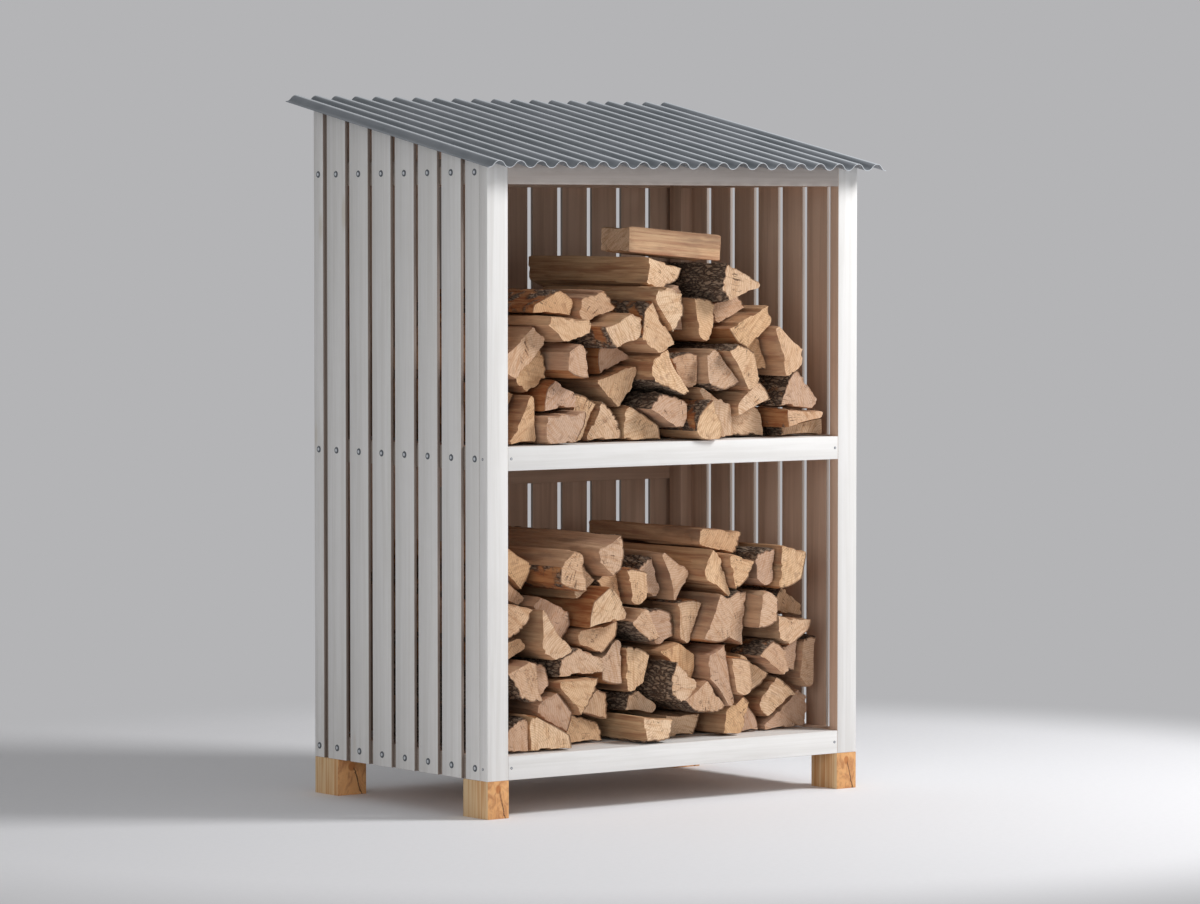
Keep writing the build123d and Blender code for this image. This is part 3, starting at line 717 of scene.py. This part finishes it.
def dress_frame():
    """White paint outside and on the front, brown stain inside, bare pine feet."""
    white, header_paint_in_painted_shade, stain, edge = (board_material(name, *coat) for name, coat in COATS.items())
    pine = [pine_side_material(), pine_front_material()]
    left, right, back, up = (Vector(way) for way in ((-1, 0, 0), (1, 0, 0), (0, 1, 0), (0, 0, 1)))
    # the board edges take the edge tone, which is partly painted shade for the gaps between the slats
    walls = {
        "left_wall_slats": (left, edge),
        "post_front_left": (left, stain),
        "right_wall_slats": (right, edge),
        "post_front_right": (right, stain),
        "back_wall_slats": (back, edge),
    }
    sides = {"left": left, "right": right}
    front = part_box("front_bottom_rail")[0][1]
    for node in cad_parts:
        if node in walls:
            outward, edges = walls[node]
            dress_timber(node, [edges, white, stain], outside(outward, front))
        elif node in ("front_bottom_rail", "front_shelf_rail"):
            dress_timber(node, [white], only_one)
        elif node == "front_header":
            # the header gets the greyer white, painted shade for the shadow of the roof's overhang
            dress_timber(node, [header_paint_in_painted_shade], only_one)
        elif node in ("floor_boards", "shelf_boards"):
            dress_timber(node, [stain, white], facing(up))
        elif node.startswith("foot_"):
            dress_timber(node, pine, front_or_back, upright=True)
        elif node not in ("roof_sheet", "upper_firewood", "lower_firewood"):
            side = next((way for name, way in sides.items() if name in node.split("_")), back)
            dress_timber(node, [stain, edge], facing(side))


def dress_roof():
    """A copy of the sheet with each point's height in its wave, which leads a painted highlight on the
    crests, and bright metal where it is cut.
    """
    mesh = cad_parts["roof_sheet"].data.copy()
    mesh.materials.clear()
    places = np.empty(3 * len(mesh.vertices))
    mesh.vertices.foreach_get("co", places)
    places = places.reshape(-1, 3)
    table = np.column_stack([np.ones(len(places)), places[:, 1]])
    plane = np.linalg.lstsq(table, places[:, 2], rcond=None)[0]
    rise = places[:, 2] - table @ plane
    layer = mesh.attributes.new("crest", "FLOAT", "POINT")
    layer.data.foreach_set("value", ((rise - rise.min()) / np.ptp(rise)).astype(np.float32))
    down_slope = Vector((0, 1, plane[1])).normalized()
    for face in mesh.polygons:
        face.material_index = int(abs(face.normal.dot(down_slope)) > CUT_EDGE_SHARE)
    cut_edge = metal_material("sheet_cut_edge", ROOF_CUT, PAINTED_CREST_HIGHLIGHT, CUT_METALLIC_SHARE)
    new_object("roof_sheet_dressed", mesh, [roof_material(), cut_edge], ["roof_sheet"])


def middle(node, axis):
    """The middle of a node's box along one axis."""
    low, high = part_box(node)
    return (low[axis] + high[axis]) / 2


def slat_boxes(node):
    """Each slat's lowest corner and size, front to back or left to right."""
    bm = welded(node)
    boxes = [extent([vertex.co for vertex in board]) for board in islands(bm)]
    bm.free()
    return boxes


def screw_places():
    """Centre, outward direction and size share of every screw on the walls and front rails."""
    places = []
    left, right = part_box("left_wall_slats"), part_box("right_wall_slats")
    for side, outer, out in (("left", left[0][0], -1), ("right", right[1][0], 1)):
        levels = [middle(f"{side}_{rail}_rail", 2) for rail in ("bottom", "shelf", "tie")]
        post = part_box(f"post_front_{side}")
        for low, size in slat_boxes(f"{side}_wall_slats"):
            is_first = low.y < post[1][1] + SAME_POINT
            across = size.y * (FRONT_SLAT_SCREW_SHARE if is_first else SLAT_SCREW_SHARE)
            for level in levels:
                places.append(((outer, low.y + across, level), (out, 0, 0), 1))
        for level in levels[:2]:
            places.append(((outer, post[0][1] + POST_SCREW_INSET, level), (out, 0, 0), SMALL_SCREW_SHARE))
    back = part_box("back_wall_slats")[1][1]
    for low, size in slat_boxes("back_wall_slats"):
        for rail in ("bottom", "shelf", "tie"):
            places.append(((low.x + size.x / 2, back, middle(f"back_{rail}_rail", 2)), (0, 1, 0), 1))
    for rail in ("front_bottom_rail", "front_shelf_rail"):
        low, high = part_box(rail)
        for x in (low[0] + RAIL_SCREW_INSET, high[0] - RAIL_SCREW_INSET):
            places.append(((x, low[1], middle(rail, 2)), (0, -1, 0), SMALL_SCREW_SHARE))
    return places


def add_screw(bm, centre, out, scale_share):
    """Turns one head about its axis, with its rim on the timber."""
    axis = Vector(out)
    side = axis.orthogonal().normalized()
    up = axis.cross(side)
    rings = []
    for radius_share, height_share in SCREW_PROFILE_SHARES:
        ring = []
        for step in range(SCREW_STEPS):
            angle = math.tau * step / SCREW_STEPS
            reach = (side * math.cos(angle) + up * math.sin(angle)) * SCREW_RADIUS * radius_share
            offset = (reach + axis * SCREW_PROUD * height_share) * scale_share
            ring.append(bm.verts.new(Vector(centre) + offset))
        rings.append(ring)
    for (radius_share, _), outer, inner in zip(SCREW_PROFILE_SHARES, rings, rings[1:]):
        for step in range(SCREW_STEPS):
            after = (step + 1) % SCREW_STEPS
            face = bm.faces.new((outer[step], outer[after], inner[after], inner[step]))
            # outer faces take the painted shade ring, inner faces the bright head
            face.material_index = int(radius_share < SCREW_BRIGHT_SHARE)
    bm.faces.new(rings[-1]).material_index = 1


def add_screws():
    """All the screws as one piece."""
    bm = bmesh.new()
    for centre, out, scale_share in screw_places():
        add_screw(bm, centre, out, scale_share)
    mesh = finished_mesh(bm, "screws")
    # the dark ring is painted shade round the bright head
    dark = metal_material("screw_painted_shade_ring", SCREW_PAINTED_SHADE, ROOF_DARK, SCREW_METALLIC_SHARE)
    bright = metal_material("screw_head", STEEL, PAINTED_CREST_HIGHLIGHT, SCREW_METALLIC_SHARE)
    new_object("screws", mesh, [dark, bright])


def log_points(node):
    """The corner points of each log in a firewood node."""
    bm = welded(node, SAME_LOG_POINT)
    found = [np.array([tuple(vertex.co) for vertex in board]) for board in islands(bm)]
    bm.free()
    return found


def log_axes(points):
    """Right-handed axes of a log as rows: across, up and along its grain."""
    size = np.ptp(points, axis=0)
    if size[1] > size[0]:
        return np.array([[1, 0, 0], [0, 0, 1], [0, -1, 0]], float)
    flat = points[:, [0, 2]] - points[:, [0, 2]].mean(axis=0)
    along = np.linalg.svd(flat)[2][0]
    along = along * np.sign(along[0])
    return np.array([[0, 1, 0], [-along[1], 0, along[0]], [along[0], 0, along[1]]], float)


def hull(points):
    """Convex outline of points in a plane, turning left, without points that lie close together."""
    ordered = sorted(map(tuple, points))

    def half(run):
        line = []
        for point in run:
            while len(line) > 1 and turn(line[-2], line[-1], point) <= SAME_POINT ** 2:
                line.pop()
            line.append(point)
        return line[:-1]

    def turn(a, b, c):
        return (b[0] - a[0]) * (c[1] - a[1]) - (b[1] - a[1]) * (c[0] - a[0])

    outline = half(ordered) + half(reversed(ordered))
    kept = []
    for point in outline:
        if not kept or math.dist(point, kept[-1]) > SAME_POINT:
            kept.append(point)
    return np.array(kept)


def bark_edges(outline):
    """Which edges of a log's outline are chords of its bark: short ones that turn a little at a time."""
    following = np.roll(outline, -1, axis=0) - outline
    lengths = np.linalg.norm(following, axis=1)
    headings = np.arctan2(following[:, 1], following[:, 0])
    turns = (headings - np.roll(headings, 1) + math.pi) % math.tau - math.pi
    gentle = np.abs(turns) < math.radians(ARC_TURN_MOST_DEG)
    short = lengths < ARC_CHORD_MOST
    arc_start = gentle & short & np.roll(short, 1)
    return arc_start | np.roll(arc_start, -1)


def circle_through(points):
    """Centre and radius of the circle that best fits points."""
    table = np.column_stack([2 * points, np.ones(len(points))])
    answer = np.linalg.lstsq(table, (points ** 2).sum(axis=1), rcond=None)[0]
    centre = answer[:2]
    return centre, math.sqrt(answer[2] + centre @ centre)


def depth_inside(outline, point):
    """How far inside a convex outline a point lies; negative outside."""
    following = np.roll(outline, -1, axis=0) - outline
    normals = np.column_stack([-following[:, 1], following[:, 0]])
    normals /= np.linalg.norm(normals, axis=1)[:, None]
    return ((point - outline) * normals).sum(axis=1).min()


def nearest_to(outline, point):
    """Distance from a point to each edge of an outline."""
    runs = np.roll(outline, -1, axis=0) - outline
    shares = ((point - outline) * runs).sum(axis=1) / (runs ** 2).sum(axis=1)
    closest = outline + runs * np.clip(shares, 0, 1)[:, None]
    return np.linalg.norm(point - closest, axis=1)


def pith_and_bark(outline, dice):
    """The pith's place, and which edges carry bark: those far from a pith that lies at the outline's edge."""
    arcs = bark_edges(outline)
    if arcs.any():
        pith, radius = circle_through(outline[arcs | np.roll(arcs, 1)])
        if depth_inside(outline, pith) < PITH_INSIDE_LEAST:
            return pith, nearest_to(outline, pith) > radius * BARK_NEAREST_SHARE
    angle = dice.uniform(0, math.tau)
    away = dice.uniform(*PITH_AWAY_SPAN)
    pith = outline.mean(axis=0) + away * np.array([math.cos(angle), math.sin(angle)])
    return pith, np.zeros(len(outline), bool)


def corners(outline):
    """Each corner's number, the corner before it, the corner and the one after it."""
    return zip(range(len(outline)), np.roll(outline, 1, axis=0), outline, np.roll(outline, -1, axis=0))


def rounded(outline, bark):
    """The outline with the corners inside a run of bark cut off, and cut again."""
    for _ in range(CORNER_CUTS):
        places, kinds = [], []
        for index, before, corner, after in corners(outline):
            if bark[index - 1] and bark[index]:
                places += [corner + (end - corner) * CORNER_CUT_SHARE for end in (before, after)]
                kinds += [True, True]
            else:
                places.append(corner)
                kinds.append(bark[index])
        outline, bark = np.array(places), np.array(kinds)
    return outline, bark


def clipped(outline, bark, point, inward):
    """The part of an outline on the inner side of a line; the cut itself is a split side."""
    places, kinds = [], []
    for index, _, here, there in corners(outline):
        depth, next_depth = (here - point) @ inward, (there - point) @ inward
        if depth >= 0:
            places.append(here)
            kinds.append(bark[index])
        if depth * next_depth < 0:
            places.append(here + (there - here) * depth / (depth - next_depth))
            kinds.append(bark[index] and depth < 0)
    return np.array(places), np.array(kinds)


def corner_angle(before, after):
    """Angle between the two sides that leave a corner."""
    cosine = before @ after / np.linalg.norm(before) / np.linalg.norm(after)
    return math.acos(max(-1, min(1, cosine)))


def blunted(outline, bark, dice):
    """The outline with its sharp tips broken off."""
    tips = []
    for _, last, corner, following in corners(outline):
        before, after = last - corner, following - corner
        angle = corner_angle(before, after)
        if angle < math.radians(LOG_TIP_ANGLE_DEG):
            inward = before / np.linalg.norm(before) + after / np.linalg.norm(after)
            inward /= np.linalg.norm(inward)
            depth = dice.uniform(*LOG_TIP_SPAN) / 2 / math.tan(angle / 2)
            tips.append((corner + inward * depth, inward))
    for point, inward in tips:
        outline, bark = clipped(outline, bark, point, inward)
    return outline, bark


def eased(outline, bark, dice):
    """The outline with every corner of a split side worn round."""
    places, kinds = [], []
    for index, before, corner, after in corners(outline):
        if bark[index - 1] and bark[index]:
            places.append(corner)
            kinds.append(True)
            continue
        ends = []
        for other in (before, after):
            ease = dice.uniform(*LOG_CORNER_EASE_SPAN)
            share = min(ease / np.linalg.norm(other - corner), LOG_CORNER_EASE_SHARE)
            ends.append(corner + (other - corner) * share)
        places += [ends[0], (ends[0] + 2 * corner + ends[1]) / 4, ends[1]]
        kinds += [bark[index - 1], bark[index], bark[index]]
    return np.array(places), np.array(kinds)


def room_inside(outline, places, normals):
    """How far each place lies from the far side of a convex outline, straight inwards."""
    runs = np.roll(outline, -1, axis=0) - outline
    lengths = np.linalg.norm(runs, axis=1)
    kept = lengths > SAME_POINT
    runs, lengths, starts = runs[kept], lengths[kept], outline[kept]
    sides = np.column_stack([runs[:, 1], -runs[:, 0]]) / lengths[:, None]
    gaps = (sides * starts).sum(axis=1) - places @ sides.T
    speeds = -normals @ sides.T
    reach = np.where(speeds > SAME_POINT, gaps / np.maximum(speeds, SAME_POINT), ROOM_MOST)
    return np.maximum(reach.min(axis=1), 0)


def sampled_outline(outline, bark, dice):
    """Points along the outline with split sides scooped, their outward normals, and which are bark."""
    places, normals, barks = [], [], []
    for index, last, start, following in corners(outline):
        run = following - start
        before = start - last
        length = np.linalg.norm(run)
        if length < SAME_POINT:
            continue
        out = np.array([run[1], -run[0]]) / length
        out_before = np.array([before[1], -before[0]]) / max(np.linalg.norm(before), SAME_POINT)
        corner = (out + out_before) / np.linalg.norm(out + out_before)
        inner = bark[index] and bark[index - 1]
        scoop = 0 if bark[index] else dice.uniform(0, SPLIT_SCOOP) * min(1, length / SCOOP_FULL_LENGTH)
        steps = max(1, round(length / LOG_OUTLINE_STEP))
        for step in range(steps):
            share = step / steps
            places.append(start + run * share - out * scoop * math.sin(math.pi * share))
            normals.append(out if step else corner)
            barks.append(bark[index] if step else inner)
    return np.array(places), np.array(normals), np.array(barks)


def without_spikes(ring):
    """The ring with any thin spikes pulled in between their neighbours."""
    for _ in range(LOG_SPIKE_PASSES):
        before, after = np.roll(ring, 1, axis=0), np.roll(ring, -1, axis=0)
        to_before, to_after = before - ring, after - ring
        reach = np.linalg.norm(to_before, axis=1) * np.linalg.norm(to_after, axis=1)
        sharp = (to_before * to_after).sum(axis=1) > math.cos(math.radians(LOG_SPIKE_ANGLE_DEG)) * reach
        ring = np.where(sharp[:, None], (before + 2 * ring + after) / 4, ring)
    return ring


def end_planes(local):
    """Coefficients (1, across, up) of the planes of a log's low and high ends."""
    middle_along = (local[:, 2].min() + local[:, 2].max()) / 2
    planes = []
    for chosen in (local[:, 2] < middle_along, local[:, 2] > middle_along):
        table = np.column_stack([np.ones(chosen.sum()), local[chosen, :2]])
        planes.append(np.linalg.lstsq(table, local[chosen, 2], rcond=None)[0])
    return planes


def wave(point, waves, start):
    """Shape noise at a point of a log, -1 to 1, with so many waves a metre along each axis."""
    return noise.noise(Vector(place * count for place, count in zip(point, waves)) + start)


def hollow(point, is_bark, start, peeled):
    """How far the torn or barked surface lies inside the log's hull at a point."""
    if is_bark:
        furrow = max(0, 1 - BARK_FURROW_STEEPNESS * abs(wave(point, FURROW_WAVES, start)))
        swell = (1 + wave(point, BARK_SWELL_WAVES, -start)) / 2
        return BARK_FURROW * (1 - peeled) * furrow + BARK_SWELL * swell
    swell = (1 + wave(point, HOLLOW_WAVES, start)) / 2
    ridge = abs(wave(point, RIDGE_WAVES, -start))
    is_ledge = wave(point, LEDGE_WAVES, 2 * start) > SPLIT_LEDGE_SHARE
    return SPLIT_HOLLOW * swell ** SPLIT_HOLLOW_POWER + SPLIT_RIDGE * ridge + SPLIT_LEDGE * is_ledge


class LogBuilder:
    """Collects the logs of one piece: vertices, faces, each face's material, and values at each vertex."""

    END, SPLIT, BARK = range(3)

    def __init__(self):
        self.places, self.wood, self.faces, self.kinds = [], [], [], []
        self.values = {name: [] for name in ("rim", "tone", "age", "peeled")}

    def add_ring(self, ring, rim):
        """Adds points in the log's axes, each with its distance from the bark, and gives their numbers."""
        first = len(self.places)
        self.places.extend((ring @ self.axes).tolist())
        from_pith = (ring[:, :2] - self.pith) @ self.spin
        self.wood.extend(np.column_stack([from_pith, ring[:, 2] + self.start.x]).tolist())
        self.values["rim"].extend(rim)
        for name, value in self.looks.items():
            self.values[name].extend([value] * len(ring))
        return list(range(first, first + len(ring)))

    def join(self, first, second, kinds):
        """Fills the band between two rings of vertex numbers."""
        count = len(first)
        for index in range(count):
            after = (index + 1) % count
            self.faces.append((first[index], first[after], second[after], second[index]))
            self.kinds.append(int(kinds[index]))

    def cap(self, ring, flat, barks, plane, looks_up):
        """Closes an end with shrinking rings that carry faint saw marks."""
        ends = [self.END] * len(ring)
        sign = 1 if looks_up else -1
        centre = flat.mean(axis=0)
        reach = np.linalg.norm(flat - centre, axis=1)
        outer = ring
        for share in LOG_CAP_SHARES:
            inward = centre + (flat - centre) * share
            marks = [noise.noise(Vector((*point, 0)) * SAW_WAVES + self.start) for point in inward]
            along = plane[0] + inward @ plane[1:] - sign * SAW_MARK * (1 + np.array(marks))
            rim = np.where(barks, reach * (1 - share), FAR_FROM_BARK)
            inner = self.add_ring(np.column_stack([inward, along]), rim.tolist())
            self.join(outer if looks_up else inner, inner if looks_up else outer, ends)
            outer = inner
        self.faces.append(tuple(outer if looks_up else reversed(outer)))
        self.kinds.append(self.END)

    def add_log(self, points, dice):
        """Adds one log: its side, ring by ring along the grain, and its two ends."""
        self.axes = log_axes(points)
        local = points @ self.axes.T
        outline = hull(local[:, :2])
        self.pith, bark = pith_and_bark(outline, dice)
        outline, bark = blunted(outline, bark, dice)
        outline, bark = eased(*rounded(outline, bark), dice)
        flat, normals, barks = sampled_outline(outline, bark, dice)
        most = LOG_ROOM_SHARE * room_inside(outline, flat, normals)
        low, high = end_planes(local)
        turn = dice.uniform(0, math.tau)
        self.spin = np.array([[math.cos(turn), -math.sin(turn)], [math.sin(turn), math.cos(turn)]])
        self.start = Vector(dice.uniform(0, GRAIN_SPREAD) for axis in range(3))
        self.looks = {"tone": dice.random(), "age": dice.random() ** LOG_AGE_POWER, "peeled": dice.random()}
        rim = np.where(barks, 0, FAR_FROM_BARK).tolist()
        kinds = np.where(barks | np.roll(barks, -1), self.BARK, self.SPLIT)
        rings = []
        for step in range(LOG_STATIONS + 1):
            share = step / LOG_STATIONS
            wear = LOG_EDGE_WEAR if step in (0, LOG_STATIONS) else 0
            along = (low[0] + flat @ low[1:]) * (1 - share) + (high[0] + flat @ high[1:]) * share
            ring = []
            for place, out, is_bark, height, room in zip(flat, normals, barks, along, most):
                inset = hollow((*place, height), is_bark, self.start, self.looks["peeled"]) + wear
                ring.append((*(place - out * min(inset, room)), height))
            rings.append(without_spikes(np.array(ring)))
        numbers = [self.add_ring(ring, rim) for ring in rings]
        for first, second in zip(numbers, numbers[1:]):
            self.join(first, second, kinds)
        self.cap(numbers[0], rings[0][:, :2], barks, low, False)
        self.cap(numbers[-1], rings[-1][:, :2], barks, high, True)

    def mesh(self, name):
        """All the logs as one mesh with their values."""
        mesh = bpy.data.meshes.new(name)
        mesh.from_pydata(self.places, [], self.faces)
        mesh.polygons.foreach_set("material_index", self.kinds)
        mesh.polygons.foreach_set("use_smooth", [True] * len(self.faces))
        layer = mesh.attributes.new("wood", "FLOAT_VECTOR", "POINT")
        layer.data.foreach_set("vector", np.array(self.wood, np.float32).ravel())
        for value_name, values in self.values.items():
            layer = mesh.attributes.new(value_name, "FLOAT", "POINT")
            layer.data.foreach_set("value", np.array(values, np.float32))
        mesh.set_sharp_from_angle(angle=math.radians(LOG_CREASE_DEG))
        return mesh


def add_firewood():
    """Each firewood node as groups of logs with torn, barked and sawn surfaces."""
    materials = [log_end_material(), log_split_material(), bark_material()]
    for node in ("upper_firewood", "lower_firewood"):
        dice = random.Random(f"{LOG_SEED} {node}")
        logs = log_points(node)
        for group, first in enumerate(range(0, len(logs), LOGS_PER_PIECE)):
            builder = LogBuilder()
            for points in logs[first:first + LOGS_PER_PIECE]:
                builder.add_log(points, dice)
            name = f"{node}_{group}"
            new_object(name, builder.mesh(name), materials, [node])


def add_stage():
    """The floor, which is no part of the object."""
    bm = bmesh.new()
    bmesh.ops.create_circle(bm, cap_ends=True, segments=FLOOR_STEPS, radius=FLOOR_RADIUS)
    mesh = finished_mesh(bm, "floor")
    floor = placed("floor", mesh)
    mesh.materials.append(floor_material())


def add_lamp(name, place, size, power):
    """A round lamp that looks at the middle of the store."""
    lamp = bpy.data.lights.new(name, "AREA")
    lamp.shape = "DISK"
    lamp.size = size
    lamp.energy = power
    holder = placed(name, lamp)
    holder.location = place
    aim = Vector(LIGHT_AIM) - Vector(place)
    holder.rotation_euler = aim.to_track_quat("-Z", "Y").to_euler()


def add_light():
    """A soft key from the front right, a wide fill from the left, a weak front lamp and an even sky."""
    for name, lamp in LAMPS.items():
        add_lamp(name, *lamp)
    world = bpy.data.worlds.new("studio")
    bpy.context.scene.world = world
    world.use_nodes = True
    nodes, links = world.node_tree.nodes, world.node_tree.links
    sky = nodes["Background"]
    sky.inputs["Color"].default_value = AMBIENT_COLOUR
    sky.inputs["Strength"].default_value = AMBIENT_STRENGTH
    seen = nodes.new("ShaderNodeBackground")
    seen.inputs["Color"].default_value = linear(BACKDROP_TONE)
    mix = nodes.new("ShaderNodeMixShader")
    links.new(shows_background(nodes, links), mix.inputs[0])
    links.new(sky.outputs[0], mix.inputs[1])
    links.new(seen.outputs[0], mix.inputs[2])
    links.new(mix.outputs[0], nodes["World Output"].inputs["Surface"])


def add_camera():
    """The camera fitted to the photograph."""
    camera = bpy.data.cameras.new("camera")
    camera.sensor_fit = "HORIZONTAL"
    camera.sensor_width = SENSOR_WIDTH_MM
    camera.lens = FOCAL_PX / IMAGE_WIDTH_PX * SENSOR_WIDTH_MM
    holder = placed("camera", camera)
    holder.location = CAMERA_PLACE
    holder.rotation_euler = (math.radians(LEVEL_DEG - CAMERA_DOWN_DEG), 0, math.radians(CAMERA_TURN_DEG))
    bpy.context.scene.camera = holder


dress_frame()
dress_roof()
add_screws()
add_firewood()
add_stage()
add_light()
add_camera()
bpy.context.scene.view_settings.view_transform = "Standard"
